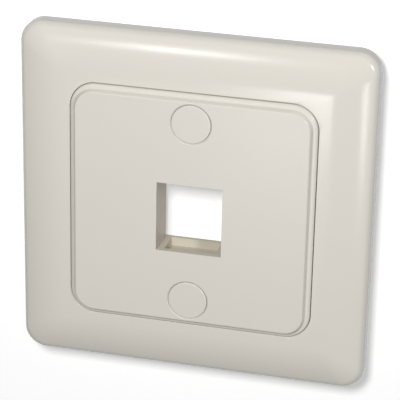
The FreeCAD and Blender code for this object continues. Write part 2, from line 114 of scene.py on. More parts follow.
class FrameSizes(bpy.types.PropertyGroup):
    """Sizes of the outer frame, in millimetres."""
    half: size("Half side", "Half the frame's side", millimetres(FRAME_HIGH.x))
    corner: size("Corner", "Radius of the frame's outer corners", 5.0)
    collar_depth: size(
        "Collar depth", "Height of the flat collar above the wall", millimetres(-FRAME_LOW.y))
    crown_width: size("Crown width", "Width of the curved rail outside the collar", 10.0)
    crown_radius: size("Crown radius", "Radius of the rail's curve", 25.3)
    collar_corner: size("Collar corner", "Radius of the collar's outer corners", 0.4)
    shoulder: size("Shoulder", "Radius between the rail and the side wall", 2.0)
    wall: size("Wall", "Thickness of the side wall", 2.0)
    skin: size("Skin", "Thickness of the rail", 2.0)
    seat_half: size("Seat", "Half the side of the seat that takes the plate", 27.9)
    seat_corner: size("Seat corner", "Radius of the seat's corners", 6.0)
    seat_sink: size("Seat sink", "How far the seat lies below the collar", 1.5)
    ledge_width: size("Ledge width", "Width of the ledge round the window", 2.0)
    ledge_thickness: size("Ledge thickness", "Thickness of that ledge", 1.2)
    ledge_root: size("Ledge root", "Width of the thick band behind the ledge", 3.5)
    hollow_corner: size("Hollow corner", "Corner radius of the hollow at the window's band", 7.5)
    rib: size("Rib", "Thickness of the ribs behind the rail", 1.2)
    rib_spacing: size("Rib spacing", "Distance between the two ribs of a side", 26.0)
    rib_back: size("Rib back", "Depth at which the ribs end", 1.8)
    edge: size("Edge break", "Radius left on sharp moulded edges", 0.12)


class PlateSizes(bpy.types.PropertyGroup):
    """Sizes of the centre plate, in millimetres."""
    half: size("Half side", "Half the flange's side", millimetres(PLATE_HIGH.x))
    front_depth: size(
        "Front depth", "Height of the front face above the wall", millimetres(-PLATE_LOW.y))
    back_depth: size(
        "Port back", "How far the port reaches behind the wall plane", millimetres(PLATE_HIGH.y))
    corner: size("Corner", "Radius of the flange's corners", 5.75)
    bead: size("Bead", "Radius of the bead round the flange", 0.6)
    flange_chamfer: size("Flange chamfer", "Chamfer at the flange's back edge", 0.05)
    step: size("Step width", "Width of the step outside the plateau", 1.0)
    plateau_rise: size("Plateau rise", "Height of the plateau above the step", 1.25)
    batter: size("Batter", "How far the plateau's wall leans in", 0.45)
    cove: size("Cove", "Radius at the plateau's foot", 0.3)
    edge_round: size("Plateau edge", "Radius at the plateau's rim", 0.4)
    skin: size("Skin", "Thickness of the front", 2.0)
    spigot_inset: size("Spigot inset", "How far the spigot lies inside the flange's edge", 1.95)
    spigot_wall: size("Spigot wall", "Wall of the spigot", 1.5)
    spigot_back: size("Spigot back", "Depth at which the spigot ends", 2.4)
    port_width: size("Port width", "Width of the keystone opening", 14.9)
    port_height: size("Port height", "Height of the keystone opening", 16.3)
    port_drop: size("Port drop", "How far the opening's middle lies below the plate's", 1.3)
    chamber_wall: size("Chamber wall", "Wall of the port's chamber", 1.5)
    chamber_corner: size("Chamber corner", "Radius of the chamber's upright edges", 0.3)
    latch_lip: size("Latch lip", "Length of the port's lower lip", 1.3)
    latch_recess: size("Latch recess", "Depth of the recess behind the lower lip", 2.0)
    latch_width: size("Latch width", "Width of that recess", 11.6)
    latch_catch: size("Latch catch", "Thickness of the catch behind that recess", 1.0)
    hook_lip: size("Hook lip", "Length of the port's upper lip", 5.1)
    hook_recess: size("Hook recess", "Depth of the recess behind the upper lip", 2.0)
    hook_catch: size("Hook catch", "Thickness of the catch behind that recess", 2.0)
    cap_clearance: size("Cap clearance", "Gap round each cap", 0.07)
    cap_chamfer: size("Cap rim", "Chamfer at the rim of each cap seat", 0.25)
    head_bore: size("Head bore", "Diameter of the recess for each screw head", 6.3)
    head_seat: size("Head seat", "Depth at which each screw head sits", 3.3)
    shank_bore: size("Shank bore", "Diameter of each shank hole", 3.4)
    boss_foot: size("Boss foot", "Depth at which the bosses end", 1.2)
    boss_wall: size("Boss wall", "Wall of the bosses", 1.15)


class CapSizes(bpy.types.PropertyGroup):
    """Sizes of the screw caps, in millimetres."""
    radius: size("Radius", "Radius of the cap's disc", millimetres(CAP_HIGH.x))
    thickness: size("Thickness", "Thickness of the disc", 1.5)
    edge_round: size("Edge", "Radius at the disc's rim", 0.2)
    skirt_radius: size("Skirt", "Radius of the skirt", 3.1)
    skirt_wall: size("Skirt wall", "Wall of the skirt", 0.7)
    spread: size(
        "Spread", "Distance of each cap from the middle", millimetres((CAP_LOW.z + CAP_HIGH.z) / 2))


class ScrewSizes(bpy.types.PropertyGroup):
    """Sizes of the plate screws, in millimetres."""
    head_radius: size("Head radius", "Radius of the cheese head", millimetres(SCREW_HIGH.x))
    head_height: size("Head height", "Height of the head", 2.0)
    head_round: size("Head round", "Radius at the head's front rim", 0.35)
    head_chamfer: size("Head chamfer", "Chamfer at the head's back rim", 0.1)
    slot_width: size("Slot width", "Width of the driver slot", 0.8)
    slot_sink: size("Slot depth", "Depth of the driver slot", 0.85)
    thread_radius: size("Thread radius", "Radius over the thread's crests", 1.5)
    pitch: size("Pitch", "Distance between two turns of the thread", 0.5)
    thread_height: size("Thread height", "Height of the thread's ridges", 0.29)
    tip_chamfer: size("Tip", "Chamfer at the screw's tip", 0.4)


class RingSizes(bpy.types.PropertyGroup):
    """Sizes of the steel support ring, in millimetres."""
    half: size("Half side", "Half the ring's side", millimetres(RING_HIGH.x))
    corner: size("Corner", "Radius of the ring's corners", 8.0)
    thickness: size("Thickness", "Thickness of the sheet", millimetres(-RING_LOW.y))
    window_width: size("Window width", "Width of the ring's window", 50.0)
    window_height: size("Window height", "Height of the ring's window", 31.7)
    window_corner: size("Window corner", "Radius of the window's corners", 4.0)
    hole_circle: size("Hole circle", "Diameter of the circle of the box screws", 60.0)
    hole: size("Hole", "Diameter of the box screw holes and width of the slots", 4.0)
    slot_length: size("Slot length", "Length of the slots", 8.0)
    collar_reach: size(
        "Collar", "How far the collars reach behind the wall plane", millimetres(RING_HIGH.y))
    collar_wall: size("Collar wall", "Wall of the tapped collars", 1.0)
    thread_gap: size("Thread gap", "Clearance round each screw's thread", 0.05)
    edge: size("Edge", "Rounding of the stamped edges", 0.15)


class Finishes(bpy.types.PropertyGroup):
    """Colours of the finishes."""
    ivory: FloatVectorProperty(
        name="Ivory", description="Colour of the moulded plastic", subtype="COLOR",
        size=3, min=0.0, max=1.0, default=(0.68, 0.652, 0.592))
    # darker and browner than the ivory: painted shade for the dim inside of the port, which is the
    # same plastic as the plate
    port: FloatVectorProperty(
        name="Port", description="Colour of the port's inner walls", subtype="COLOR",
        size=3, min=0.0, max=1.0, default=(0.60, 0.555, 0.47))
    steel: FloatVectorProperty(
        name="Steel", description="Colour of the zinc-plated steel", subtype="COLOR",
        size=3, min=0.0, max=1.0, default=(0.55, 0.56, 0.56))


# ---- selecting and finishing

def deselect():
    if bpy.context.object and bpy.context.object.mode == "EDIT":
        bpy.ops.object.mode_set(mode="OBJECT")
    bpy.ops.object.select_all(action="DESELECT")


def choose(*objects):
    """Select these objects alone; the first is the active one."""
    deselect()
    for item in objects:
        item.select_set(True)
    bpy.context.view_layer.objects.active = objects[0]


def apply_modifiers(piece):
    choose(piece)
    for modifier in list(piece.modifiers):
        bpy.ops.object.modifier_apply(modifier=modifier.name)


def settle(piece):
    """Put the object's place into its mesh, so that the object sits at the origin."""
    choose(piece)
    bpy.ops.object.transform_apply(location=True, rotation=True, scale=True)


def finish_surface(piece):
    """Smooth the curved faces, keep the sharp edges, and let flat faces set the normals."""
    choose(piece)
    bpy.ops.object.shade_smooth_by_angle(angle=SHARP_ANGLE, keep_sharp_edges=False)
    weighted = piece.modifiers.new("FlatFacesFirst", "WEIGHTED_NORMAL")
    weighted.mode = "FACE_AREA"
    weighted.weight = 90
    weighted.keep_sharp = True
    apply_modifiers(piece)


def edit_all(piece):
    """Open a piece in edit mode with all of it selected."""
    choose(piece)
    bpy.ops.object.mode_set(mode="EDIT")
    bpy.ops.mesh.select_all(action="SELECT")


def outward(piece):
    """Merge a closed shell's doubles and point its faces outwards."""
    edit_all(piece)
    bpy.ops.mesh.remove_doubles(threshold=TOUCH / 2 * MM)
    bpy.ops.mesh.normals_make_consistent(inside=False)
    bpy.ops.object.mode_set(mode="OBJECT")


def combine(piece, tools, operation):
    """Join solids to the piece, cut them out of it or keep what lies in them, one by one."""
    for tool in tools:
        change = piece.modifiers.new("Combine", "BOOLEAN")
        change.operation = operation
        change.solver = "EXACT"
        change.object = tool
        apply_modifiers(piece)
        bpy.data.objects.remove(tool)
    edit_all(piece)
    # the solver leaves points a few micrometres apart, and slivers between them
    bpy.ops.mesh.remove_doubles(threshold=5 * TOUCH * MM)
    bpy.ops.mesh.dissolve_degenerate(threshold=2 * TOUCH * MM)
    bpy.ops.object.mode_set(mode="OBJECT")


# ---- building blocks

def empty_mesh(name):
    """A new mesh object in edit mode with nothing in it yet."""
    deselect()
    bpy.ops.mesh.primitive_plane_add(size=MM)
    piece = bpy.context.object
    piece.name = name
    piece.data.name = name
    bpy.ops.object.mode_set(mode="EDIT")
    bpy.ops.mesh.select_mode(type="VERT")
    bpy.ops.mesh.select_all(action="SELECT")
    bpy.ops.mesh.delete(type="VERT")
    return piece


def add_loop(piece, number, half_width, half_height, corner, depth, rise, segments):
    """Add a rounded rectangle, as a loop of edges parallel to the wall, and number its points."""
    bpy.ops.mesh.select_all(action="DESELECT")
    bpy.ops.mesh.primitive_plane_add(
        size=2 * MM, location=(0, -depth * MM, rise * MM), rotation=(math.pi / 2, 0, 0))
    bpy.ops.transform.resize(value=(half_width, 1, half_height))
    bpy.ops.mesh.bevel(offset=corner * MM, segments=segments, affect="VERTICES")
    bpy.ops.mesh.delete(type="ONLY_FACE")
    mesh = bmesh.from_edit_mesh(piece.data)
    station = mesh.verts.layers.int.get("station") or mesh.verts.layers.int.new("station")
    for point in mesh.verts:
        if point[station] == 0:
            point[station] = number
    bmesh.update_edit_mesh(piece.data)


def select_stations(piece, numbers):
    """Select the edges whose two points lie on one of these numbered loops."""
    bpy.ops.mesh.select_all(action="DESELECT")
    mesh = bmesh.from_edit_mesh(piece.data)
    station = mesh.verts.layers.int["station"]
    for edge in mesh.edges:
        first, second = (point[station] for point in edge.verts)
        if first == second and first in numbers:
            edge.select_set(True)
    bmesh.update_edit_mesh(piece.data)


def swept_square(name, stations, closed, segments=14, cuts=0):
    """Bridge a row of rounded squares, each (half side, corner radius, depth), into a solid."""
    piece = empty_mesh(name)
    bpy.ops.mesh.select_mode(type="EDGE")
    half, corner, last_depth = stations[0]
    add_loop(piece, 1, half, half, corner, last_depth, 0, segments)
    for number, (half, corner, depth) in enumerate(stations[1:], start=2):
        # bridged a millimetre in front of the last loop, because level loops bridge askew
        raised = last_depth + 1
        add_loop(piece, number, half, half, corner, raised, 0, segments)
        select_stations(piece, {number - 1, number})
        bpy.ops.mesh.bridge_edge_loops()
        select_stations(piece, {number})
        bpy.ops.transform.translate(value=(0, (raised - depth) * MM, 0))
        last_depth = depth
    last = len(stations)
    if closed:
        select_stations(piece, {1, last})
        bpy.ops.mesh.bridge_edge_loops()
    else:
        for number in (1, last):
            select_stations(piece, {number})
            bpy.ops.mesh.edge_face_add()
    if cuts:
        split_long_edges(piece, cuts)
    mesh = bmesh.from_edit_mesh(piece.data)
    mesh.verts.layers.int.remove(mesh.verts.layers.int["station"])
    bmesh.update_edit_mesh(piece.data)
    bpy.ops.object.mode_set(mode="OBJECT")
    outward(piece)
    return piece


def split_long_edges(piece, cuts):
    """Divide the straight runs along each side into shorter lengths."""
    bpy.ops.mesh.select_all(action="DESELECT")
    mesh = bmesh.from_edit_mesh(piece.data)
    for edge in mesh.edges:
        run = edge.verts[0].co - edge.verts[1].co
        if run.length > LONG_RUN * MM and abs(run.y) < TOUCH * MM:
            edge.select_set(True)
    bmesh.update_edit_mesh(piece.data)
    bpy.ops.mesh.subdivide(number_cuts=cuts)


def block(name, width, height, back, front, rise=0.0, edge=0.0, segments=3):
    """A box between two depths, its upright edges rounded where `edge` is set."""
    deselect()
    middle = -(back + front) / 2
    bpy.ops.mesh.primitive_cube_add(size=2 * MM, location=(0, middle * MM, rise * MM))
    piece = bpy.context.object
    piece.name = name
    piece.data.name = name
    bpy.ops.object.mode_set(mode="EDIT")
    bpy.ops.mesh.select_all(action="SELECT")
    bpy.ops.transform.resize(value=(width / 2, (front - back) / 2, height / 2))
    if edge:
        select_edges(piece, lambda a, b: abs((a - b).y) > TOUCH * MM)
        bpy.ops.mesh.bevel(offset=edge * MM, segments=segments)
    bpy.ops.object.mode_set(mode="OBJECT")
    settle(piece)
    return piece


def select_edges(piece, wanted):
    """Select the edges whose two end points pass a test."""
    bpy.ops.mesh.select_mode(type="EDGE")
    bpy.ops.mesh.select_all(action="DESELECT")
    mesh = bmesh.from_edit_mesh(piece.data)
    for edge in mesh.edges:
        if wanted(edge.verts[0].co, edge.verts[1].co):
            edge.select_set(True)
    bmesh.update_edit_mesh(piece.data)


def turned(name, profile, rise=0.0, steps=64):
    """Spin a profile of (radius, depth) points about an axis square to the wall."""
    piece = drawn_chain(name, profile)
    bpy.ops.mesh.select_all(action="SELECT")
    bpy.ops.mesh.spin(steps=steps, angle=2 * math.pi, center=(0, 0, 0), axis=(0, 1, 0))
    bpy.ops.mesh.select_all(action="SELECT")
    bpy.ops.mesh.remove_doubles(threshold=TOUCH * MM)
    bpy.ops.mesh.normals_make_consistent(inside=False)
    bpy.ops.mesh.select_all(action="SELECT")
    bpy.ops.transform.translate(value=(0, 0, rise * MM))
    bpy.ops.object.mode_set(mode="OBJECT")
    return piece


def pin(name, radius, back, front, rise):
    """A plain round tool between two depths, its axis square to the wall."""
    profile = [(0, back), (radius, back), (radius, front), (0, front)]
    return turned(name, profile, rise=rise, steps=40)


def rounded_rim(radius, front, rounding, steps):
    """Points of a turned profile round its front rim, from the side to the front face."""
    points = []
    for step in range(steps + 1):
        angle = math.radians(90 * step / steps)
        points.append((radius - rounding * (1 - math.cos(angle)),
                       front - rounding * (1 - math.sin(angle))))
    return points


def drawn_chain(name, points):
    """A new mesh in edit mode that holds one chain of edges through (across, depth) points."""
    piece = empty_mesh(name)
    bpy.ops.mesh.primitive_plane_add(size=MM, location=(0, 0, 0))
    bpy.ops.mesh.merge(type="CENTER")
    place = Vector((0, 0, 0))
    for number, (across, depth) in enumerate(points):
        target = Vector((across, -depth, 0)) * MM
        if number == 0:
            bpy.ops.transform.translate(value=target - place)
        else:
            bpy.ops.mesh.extrude_region_move(TRANSFORM_OT_translate={"value": target - place})
        place = target
    return piece


def prism(name, outline, low, high):
    """A flat outline of (across, depth) points, drawn out from one height to another."""
    piece = drawn_chain(name, outline)
    bpy.ops.mesh.select_all(action="SELECT")
    bpy.ops.mesh.edge_face_add()
    bpy.ops.mesh.select_all(action="SELECT")
    bpy.ops.transform.translate(value=(0, 0, low * MM))
    bpy.ops.mesh.extrude_region_move(TRANSFORM_OT_translate={"value": (0, 0, (high - low) * MM)})
    bpy.ops.object.mode_set(mode="OBJECT")
    outward(piece)
    return piece


def threaded_rod(name, radius, ridge, pitch, front, back, steps=20):
    """A rod with a helical thread between two depths, closed at both ends.

    Known fault: the helix comes out left-handed.
    """
    # one turn of the thread: where its flanks and crest begin, as shares of the pitch
    rising_flank, crest, falling_flank = 0.2, 0.55, 0.65
    root = radius - ridge
    start = back + pitch
    profile = [(root, start), (root, start - pitch * rising_flank), (radius, start - pitch * crest),
               (radius, start - pitch * falling_flank), (root, back)]
    piece = drawn_chain(name, profile)
    bpy.ops.mesh.select_all(action="SELECT")
    turns = math.ceil((front - back) / pitch)
    bpy.ops.mesh.screw(steps=steps, turns=turns, center=(0, 0, 0), axis=(0, 1, 0))
    bpy.ops.mesh.select_all(action="SELECT")
    bpy.ops.mesh.remove_doubles(threshold=TOUCH * MM)
    for outermost in (min, max):
        edges = bmesh.from_edit_mesh(piece.data).edges
        free = [edge for edge in edges if edge.is_boundary]
        end = outermost(sum(point.co.y for point in edge.verts) / 2 for edge in free)
        bpy.ops.mesh.select_all(action="DESELECT")
        for edge in free:
            if abs(edge.verts[0].co.y - end) < 2 * pitch * MM:
                edge.select_set(True)
        bpy.ops.mesh.fill(use_beauty=True)
    bpy.ops.object.mode_set(mode="OBJECT")
    outward(piece)
    # the fine turns can mislead the search for the outside
    edit_all(piece)
    if bmesh.from_edit_mesh(piece.data).calc_volume(signed=True) < 0:
        bpy.ops.mesh.flip_normals()
    bpy.ops.object.mode_set(mode="OBJECT")
    return piece


def arc(centre, radius, start, end, steps, corner):
    """Stations round an arc in a section; `corner` gives the corner radius at each half side."""
    points = []
    for step in range(steps + 1):
        angle = math.radians(start + (end - start) * step / steps)
        half = centre[0] + radius * math.cos(angle)
        points.append((half, corner(half), centre[1] + radius * math.sin(angle)))
    return points


# ---- node groups and finishes

def surface_group(name, tint, values):
    """A node group with a Vector, a Tint and values in, and a surface's colour and relief out."""
    group = bpy.data.node_groups.new(name, "ShaderNodeTree")

    def socket(label, direction, kind):
        return group.interface.new_socket(
            name=label, in_out=direction, socket_type="NodeSocket" + kind)

    socket("Vector", "INPUT", "Vector")
    socket("Tint", "INPUT", "Color").default_value = (*tint, 1.0)
    for label, default in values.items():
        socket(label, "INPUT", "Float").default_value = default
    for label, kind in (("Color", "Color"), ("Roughness", "Float"), ("Height", "Float")):
        socket(label, "OUTPUT", kind)
    source, result = group.nodes.new("NodeGroupInput"), group.nodes.new("NodeGroupOutput")
    return group, source.outputs, result.inputs


def feed(links, socket, entry):
    """Give a socket a number, or link another node's output to it."""
    if isinstance(entry, (int, float)):
        socket.default_value = entry
    else:
        links.new(entry, socket)


def maths(tree, operation, first, second):
    node = tree.nodes.new("ShaderNodeMath")
    node.operation = operation
    feed(tree.links, node.inputs[0], first)
    feed(tree.links, node.inputs[1], second)
    return node.outputs[0]


def ranged(tree, entry, low, high):
    """Spread a value between 0 and 1 over another range."""
    node = tree.nodes.new("ShaderNodeMapRange")
    tree.links.new(entry, node.inputs["Value"])
    feed(tree.links, node.inputs["To Min"], low)
    feed(tree.links, node.inputs["To Max"], high)
    return node.outputs["Result"]


def noise(tree, vector, scale, detail):
    node = tree.nodes.new("ShaderNodeTexNoise")
    node.inputs["Scale"].default_value = scale
    node.inputs["Detail"].default_value = detail
    tree.links.new(vector, node.inputs["Vector"])
    return node.outputs["Fac"]


def shaded(tree, tint, shade):
    """Scale a colour by a value."""
    node = tree.nodes.new("ShaderNodeVectorMath")
    node.operation = "SCALE"
    tree.links.new(tint, node.inputs[0])
    tree.links.new(shade, node.inputs["Scale"])
    return node.outputs[0]


def moulded_surface():
    """Colour, gloss and height of injection-moulded plastic: soft mottle, ripple and fine grain."""
    name = "Moulded Surface"
    if name in bpy.data.node_groups:
        return bpy.data.node_groups[name]
    group, given, result = surface_group(
        name, (0.8, 0.8, 0.8),
        {"Mottle": 0.02, "Gloss": 0.2, "Gloss Spread": 0.05, "Ripple": 1.0, "Grain": 0.3})
    place = given["Vector"]

    def centred(entry, amount):
        return maths(group, "MULTIPLY", maths(group, "SUBTRACT", entry, 0.5), amount)

    cloud = centred(noise(group, place, 60.0, 2.0), given["Mottle"])
    fine_mottle = maths(group, "MULTIPLY", given["Mottle"], 0.6)
    fine = centred(noise(group, place, 900.0, 3.0), fine_mottle)
    shade = maths(group, "ADD", maths(group, "ADD", 1.0, cloud), fine)
    group.links.new(shaded(group, given["Tint"], shade), result["Color"])

    uneven = centred(noise(group, place, 140.0, 3.0), given["Gloss Spread"])
    group.links.new(maths(group, "ADD", given["Gloss"], uneven), result["Roughness"])

    ripple = maths(group, "MULTIPLY", noise(group, place, 110.0, 1.0), given["Ripple"])
    grain = maths(group, "MULTIPLY", noise(group, place, 2600.0, 2.0), given["Grain"])
    group.links.new(maths(group, "ADD", ripple, grain), result["Height"])
    return group


def plated_surface():
    """Colour, gloss and height of zinc-plated steel: rolling marks, cloudy plating, specks."""
    name = "Plated Surface"
    if name in bpy.data.node_groups:
        return bpy.data.node_groups[name]
    group, given, result = surface_group(
        name, (0.55, 0.56, 0.56), {"Gloss": 0.35, "Gloss Spread": 0.12})
    place = given["Vector"]

    stretch = group.nodes.new("ShaderNodeMapping")
    stretch.inputs["Scale"].default_value = (1.0, 1.0, 14.0)
    group.links.new(place, stretch.inputs["Vector"])
    rolled = noise(group, stretch.outputs["Vector"], 300.0, 4.0)
    cloud = noise(group, place, 120.0, 3.0)
    marks = ranged(group, rolled, 0.94, 1.06)
    shade = maths(group, "MULTIPLY", ranged(group, cloud, 0.86, 1.1), marks)
    group.links.new(shaded(group, given["Tint"], shade), result["Color"])

    low = maths(group, "SUBTRACT", given["Gloss"], given["Gloss Spread"])
    high = maths(group, "ADD", given["Gloss"], given["Gloss Spread"])
    group.links.new(ranged(group, cloud, low, high), result["Roughness"])

    specks = noise(group, place, 1500.0, 2.0)
    group.links.new(maths(group, "ADD", rolled, specks), result["Height"])
    return group


def surfaced(name, group, settings, bump):
    """A material whose colour, gloss and relief a surface group gives, and its shader.

    `bump` is the height in metres that the group's height of 1 stands for.
    """
    material = bpy.data.materials.new(name)
    material.use_nodes = True
    nodes, links = material.node_tree.nodes, material.node_tree.links
    shader = nodes["Principled BSDF"]
    place = nodes.new("ShaderNodeTexCoord")
    surface = nodes.new("ShaderNodeGroup")
    surface.node_tree = group
    links.new(place.outputs["Object"], surface.inputs["Vector"])
    for label, entry in settings.items():
        surface.inputs[label].default_value = entry
    relief = nodes.new("ShaderNodeBump")
    relief.inputs["Distance"].default_value = bump
    links.new(surface.outputs["Color"], shader.inputs["Base Color"])
    links.new(surface.outputs["Roughness"], shader.inputs["Roughness"])
    links.new(surface.outputs["Height"], relief.inputs["Height"])
    links.new(relief.outputs["Normal"], shader.inputs["Normal"])
    return material, shader


def plastic(name, tint, gloss, ripple, grain, mottle=0.02, gloss_spread=0.05):
    """Injection-moulded plastic."""
    settings = {"Tint": (*tint, 1.0), "Mottle": mottle, "Gloss": gloss,
                "Gloss Spread": gloss_spread, "Ripple": ripple, "Grain": grain}
    material, shader = surfaced(name, moulded_surface(), settings, PLASTIC_RELIEF)
    shader.inputs["IOR"].default_value = PLASTIC_IOR
    return material


def plated_steel(name, tint, gloss, gloss_spread, bump):
    """Zinc-plated steel, with rolling marks of the height `bump` in metres."""
    settings = {"Tint": (*tint, 1.0), "Gloss": gloss, "Gloss Spread": gloss_spread}
    material, shader = surfaced(name, plated_surface(), settings, bump)
    shader.inputs["Metallic"].default_value = 1.0
    return material


def dress(piece, material, node):
    """Give a finished piece its material, body and slot, in place of its CAD node."""
    piece.data.materials.clear()
    piece.data.materials.append(material)
    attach(piece, "root")
    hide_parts(node)


# ---- outer frame

def frame_section(s):
    """Stations round the frame's section, from the seat out over the crown and back inside."""
    collar_half = s.half - s.crown_width
    level = s.collar_depth
    arc_centre = level - s.crown_radius

    def outer_corner(half):
        share = min(max((half - collar_half) / s.crown_width, 0.0), 1.0)
        return s.collar_corner + (s.corner - s.collar_corner) * share

    def crown(half, inset=0.0, drop=0.0):
        run = half + inset - collar_half
        return arc_centre + math.sqrt(s.crown_radius ** 2 - run ** 2) - drop

    seat = level - s.seat_sink
    window = s.seat_half - s.ledge_width
    root_half = window + s.ledge_root
    back = seat - s.ledge_thickness
    inner_half = s.half - s.wall
    stations = [
        (window, s.seat_corner - s.ledge_width, seat),
        (s.seat_half, s.seat_corner, seat),
    ]
    stations += arc((s.seat_half + s.edge, level - s.edge), s.edge, 180, 90, steps=3,
                    corner=lambda half: s.seat_corner + half - s.seat_half)
    # collar: its corners turn from the seat's round to nearly square at the crown
    collar_steps = 3
    for step in range(1, collar_steps):
        share = step / collar_steps
        half = s.seat_half + s.edge + (collar_half - s.seat_half - s.edge) * share
        stations.append((half, s.seat_corner + (s.collar_corner - s.seat_corner) * share, level))
    # crown and shoulder
    shoulder_half = s.half - s.shoulder
    shoulder_depth = arc_centre + math.sqrt(
        (s.crown_radius - s.shoulder) ** 2 - (shoulder_half - collar_half) ** 2)
    tangent = math.degrees(math.atan2(shoulder_depth - arc_centre, shoulder_half - collar_half))
    crown_end = collar_half + s.crown_radius * math.cos(math.radians(tangent))
    crown_steps = 22
    for step in range(crown_steps):
        half = collar_half + (crown_end - collar_half) * step / crown_steps
        stations.append((half, outer_corner(half), crown(half)))
    stations += arc((shoulder_half, shoulder_depth), s.shoulder, tangent, 0, steps=10,
                    corner=outer_corner)
    # side wall, rim and the hollow behind
    inner_corner = s.corner - s.wall
    stations += arc((s.half - s.edge, s.edge), s.edge, 0, -90, steps=2,
                    corner=lambda half: s.corner + half - s.half)
    stations += arc((inner_half + s.edge, s.edge), s.edge, -90, -180, steps=2,
                    corner=lambda half: inner_corner + half - inner_half)
    hollow_steps = 8
    for step in range(hollow_steps + 1):
        share = step / hollow_steps
        half = inner_half + (root_half - inner_half) * share
        corner = inner_corner + (s.hollow_corner - inner_corner) * share
        stations.append((half, corner, crown(half, s.wall, s.skin)))
    stations.append((root_half, s.seat_corner - s.ledge_width + s.ledge_root, back))
    stations.append((window, s.seat_corner - s.ledge_width, back))
    return stations


def frame_ribs(s):
    """Thin webs behind the rail, two to a side, from the window out to the side wall."""
    window = s.seat_half - s.ledge_width
    outer = s.half - s.wall / 2
    bend = s.half - s.crown_width
    level = s.collar_depth
    # the ribs' fronts end inside the rail, the ledge and the side wall, so that they join cleanly
    rail_sink = 0.6 * s.skin
    outline = [(window, s.rib_back), (outer, s.rib_back), (outer, s.rib_back + s.skin / 2),
               (bend, level - rail_sink), (window, level - s.seat_sink - s.ledge_thickness / 2)]
    ribs = []
    for turn in range(4):
        for side in (-1, 1):
            middle = side * s.rib_spacing / 2
            rib = prism("rib", outline, middle - s.rib / 2, middle + s.rib / 2)
            rib.rotation_euler.y = math.radians(90 * turn)
            settle(rib)
            ribs.append(rib)
    return ribs


class FACEPLATE_OT_outer_frame(bpy.types.Operator):
    """Model the crowned outer frame with its seat, window and hollow back"""
    bl_idname = "faceplate.outer_frame"
    bl_label = "Outer Frame"

    def execute(self, context):
        sizes = context.scene.faceplate_frame
        finish = context.scene.faceplate_finishes
        piece = swept_square("frame_shell", frame_section(sizes), closed=True, segments=16, cuts=16)
        combine(piece, frame_ribs(sizes), "UNION")
        finish_surface(piece)
        material = plastic("frame_ivory", finish.ivory, gloss=0.17, ripple=1.0, grain=0.05)
        dress(piece, material, "outer_frame")
        return {"FINISHED"}


# ---- centre plate

def plate_section(s, seat):
    """Stations of the plate from the tray's floor, round the spigot and flange, to the front."""
    spigot = s.half - s.spigot_inset
    spigot_corner = s.corner - s.spigot_inset
    inner = spigot - s.spigot_wall
    inner_corner = spigot_corner - s.spigot_wall
    step_depth = s.front_depth - s.plateau_rise
    foot = s.half - s.step
    lean = math.degrees(math.atan2(s.batter, s.front_depth - step_depth))

    def concentric(half):
        return s.corner + half - s.half

    stations = [
        (inner, inner_corner, s.front_depth - s.skin),
        (inner, inner_corner, s.spigot_back),
        (spigot, spigot_corner, s.spigot_back),
        (spigot, spigot_corner, seat),
        (s.half - s.flange_chamfer, s.corner - s.flange_chamfer, seat),
        (s.half, s.corner, seat + s.flange_chamfer),
    ]
    stations += arc((s.half - s.bead, step_depth - s.bead), s.bead, 0, 90, steps=8,
                    corner=concentric)
    # cove between the step and the leaning wall
    cove_reach = s.cove * math.tan(math.radians((90 - lean) / 2))
    centre = (foot + cove_reach, step_depth + s.cove)
    stations += arc(centre, s.cove, 270, 180 + lean, steps=5, corner=concentric)
    # rim of the plateau
    top = foot - s.batter
    rim_reach = s.edge_round * math.tan(math.radians((90 - lean) / 2))
    rim = (top - rim_reach, s.front_depth - s.edge_round)
    stations += arc(rim, s.edge_round, lean, 90, steps=7, corner=concentric)
    band = rim[0] - RIM_BAND
    stations.append((band, concentric(band), s.front_depth))
    return stations


def port_tools(s):
    """The solids that cut the keystone port out of its chamber."""
    floor = -s.port_drop - s.port_height / 2
    ceiling = -s.port_drop + s.port_height / 2
    back = -s.back_depth
    opening = block("opening", s.port_width, s.port_height, back - OVERCUT,
                    s.front_depth + OVERCUT, -s.port_drop)
    overlap = s.port_height / 2
    latch_height = s.latch_recess + overlap
    latch = block("latch", s.latch_width, latch_height, back + s.latch_catch,
                  s.front_depth - s.latch_lip, floor - s.latch_recess + latch_height / 2)
    hook_height = s.hook_recess + overlap
    hook = block("hook", s.port_width, hook_height, back + s.hook_catch, s.front_depth - s.hook_lip,
                 ceiling + s.hook_recess - hook_height / 2)
    return [opening, latch, hook]


def boss_profile(s, cap_seat, cap_bore, inside):
    """Half the section of a screw boss, slim behind and wider where it carries its cap.

    Known fault: its slope cuts 0.2 mm into the edge of the frame's ledge, out of sight.
    """
    slim = s.head_bore / 2 + s.boss_wall
    wide = cap_bore + s.boss_wall
    shelf = cap_seat - s.boss_wall
    return [(0, s.boss_foot), (slim, s.boss_foot), (slim, shelf - (wide - slim)),
            (wide, shelf), (wide, inside), (0, inside)]


def bore_profile(s, cap_seat, cap_bore):
    """Half the section of the stepped hole that takes a screw, its head and its cap."""
    shank, head = s.shank_bore / 2, s.head_bore / 2
    foot, front = s.boss_foot - OVERCUT, s.front_depth + OVERCUT
    return [(0, foot), (shank, foot), (shank, s.head_seat), (head, s.head_seat),
            (head, cap_seat), (cap_bore, cap_seat), (cap_bore, s.front_depth - s.cap_chamfer),
            (cap_bore + s.cap_chamfer + OVERCUT, front), (0, front)]


